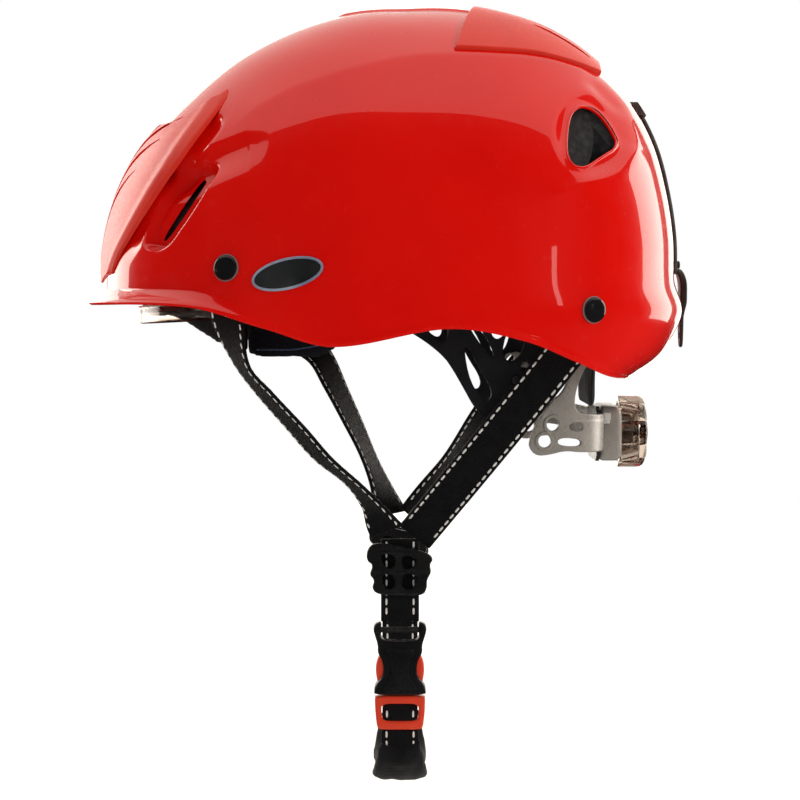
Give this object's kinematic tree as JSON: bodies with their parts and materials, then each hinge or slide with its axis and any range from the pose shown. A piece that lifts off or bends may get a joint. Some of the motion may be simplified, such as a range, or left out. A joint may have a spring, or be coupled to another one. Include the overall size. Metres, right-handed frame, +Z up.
{
  "type": "climbing helmet",
  "caption": "Hard-shell climbing helmet with foam liner, vents, Y-strap harness with side-release chin buckle, and a knob-adjusted nape cradle.",
  "frame": {"origin": "the head seat: the middle of the wearer's head at brow level, in the plane of the front rim", "axes": "+Z up through the crown, -X to the front (brim), +X to the rear (knob), -Y to the wearer's left (buckle side)"},
  "size_m": [0.2905, 0.225, 0.3744],
  "materials": {
    "shell_red": "glossy",
    "plate_red": "satin",
    "foam_grey": "matt foam",
    "pad_black": "soft knit",
    "pad_smooth": "smooth soft",
    "pad_grey": "soft knit",
    "clear_plastic": "frosted",
    "badge_black": "glossy",
    "rivet_black": "glossy",
    "steel": "plain",
    "webbing": "woven, white stitching",
    "black_plastic": "satin",
    "buckle_red": "satin",
    "cradle_black": "satin",
    "arm_grey": "satin",
    "smoky_plastic": "smoky, see-through",
    "bronze_plastic": "brown",
    "gear_white": "plain",
    "retainer_rubber": "matt"
  },
  "bodies": {
    "helmet": {"outer_shell": "shell_red", "front_vent_grille": "plate_red", "rear_vent_cover": "plate_red", "foam_liner": "foam_grey", "crown_pad": "pad_black", "brow_pad": "pad_black", "temple_pad_left": "pad_black", "temple_pad_right": "pad_black", "browband": "clear_plastic", "badge_left": "badge_black", "badge_right": "badge_black", "front_rivet_left": "rivet_black", "front_rivet_right": "rivet_black", "rear_rivet_left": "rivet_black", "rear_rivet_right": "rivet_black", "rivet_washers": "steel", "front_strap_left": "webbing", "front_strap_right": "webbing", "rear_strap_left": "webbing", "rear_strap_right": "webbing", "upper_chin_strap": "webbing", "buckle_socket": "black_plastic", "cradle_pins": "black_plastic", "cradle_hanger_left": "black_plastic", "cradle_hanger_right": "black_plastic", "retainer_anchor": "retainer_rubber", "retainer_catch": "plate_red"},
    "yoke_left_body": {"yoke_left": "black_plastic"},
    "yoke_right_body": {"yoke_right": "black_plastic"},
    "cradle": {"cradle_side_left": "cradle_black", "cradle_side_right": "cradle_black", "nape_arm_left": "arm_grey", "nape_arm_right": "arm_grey", "cradle_pegs": "black_plastic", "ratchet_housing": "arm_grey", "ratchet_cover": "black_plastic", "click_spring": "steel", "nape_pad": "pad_grey"},
    "knob": {"ratchet_knob": "smoky_plastic", "knob_axle": "bronze_plastic", "pinion": "gear_white"},
    "rack_left_body": {"rack_left": "gear_white"},
    "rack_right_body": {"rack_right": "gear_white"},
    "chin_loop": {"buckle_plug": "buckle_red", "chin_webbing": "webbing", "chin_pad": "pad_smooth"},
    "prong_front_body": {"prong_front": "buckle_red"},
    "prong_rear_body": {"prong_rear": "buckle_red"},
    "lamp_retainer": {"retainer_band": "retainer_rubber", "retainer_tab": "retainer_rubber"}
  },
  "joints": [
    {"name": "cradle_tilt", "type": "hinge", "parent": "helmet", "child": "cradle", "pos_m": [0.028, 0, 0.002], "axis": [0, -1, 0], "range_deg": [-4, 5]},
    {"name": "knob_turn", "type": "hinge", "parent": "cradle", "child": "knob", "pos_m": [0.11, 0, -0.064], "axis": [1, 0, 0], "range_deg": [-55, 55]},
    {"name": "rack_left_slide", "type": "slide", "parent": "cradle", "child": "rack_left_body", "axis": [0, 1, 0], "range_m": [-0.0062, 0.0062]},
    {"name": "rack_right_slide", "type": "slide", "parent": "cradle", "child": "rack_right_body", "axis": [0, -1, 0], "range_m": [-0.0062, 0.0062]},
    {"name": "yoke_left_slide", "type": "slide", "parent": "helmet", "child": "yoke_left_body", "axis": [0, 0, -1], "range_m": [0, 0.008]},
    {"name": "yoke_right_slide", "type": "slide", "parent": "helmet", "child": "yoke_right_body", "axis": [0, 0, -1], "range_m": [0, 0.008]},
    {"name": "buckle_release", "type": "slide", "parent": "helmet", "child": "chin_loop", "axis": [0, 0, -1], "range_m": [0, 0.021]},
    {"name": "prong_front_press", "type": "slide", "parent": "chin_loop", "child": "prong_front_body", "axis": [1, 0, 0], "range_m": [0, 0.0015], "stiffness_N_per_m": 1200},
    {"name": "prong_rear_press", "type": "slide", "parent": "chin_loop", "child": "prong_rear_body", "axis": [-1, 0, 0], "range_m": [0, 0.0015], "stiffness_N_per_m": 1200},
    {"name": "retainer_swing", "type": "hinge", "parent": "helmet", "child": "lamp_retainer", "pos_m": [0.1259, 0, 0.088], "axis": [0, -1, 0], "range_deg": [0, 60]}
  ],
  "couplings": [
    {"joint": "rack_left_slide", "follows": "knob_turn", "m_per_rad": -0.006},
    {"joint": "rack_right_slide", "follows": "knob_turn", "m_per_rad": -0.006},
    {"joint": "prong_rear_press", "follows": "prong_front_press", "ratio": 1}
  ]
}
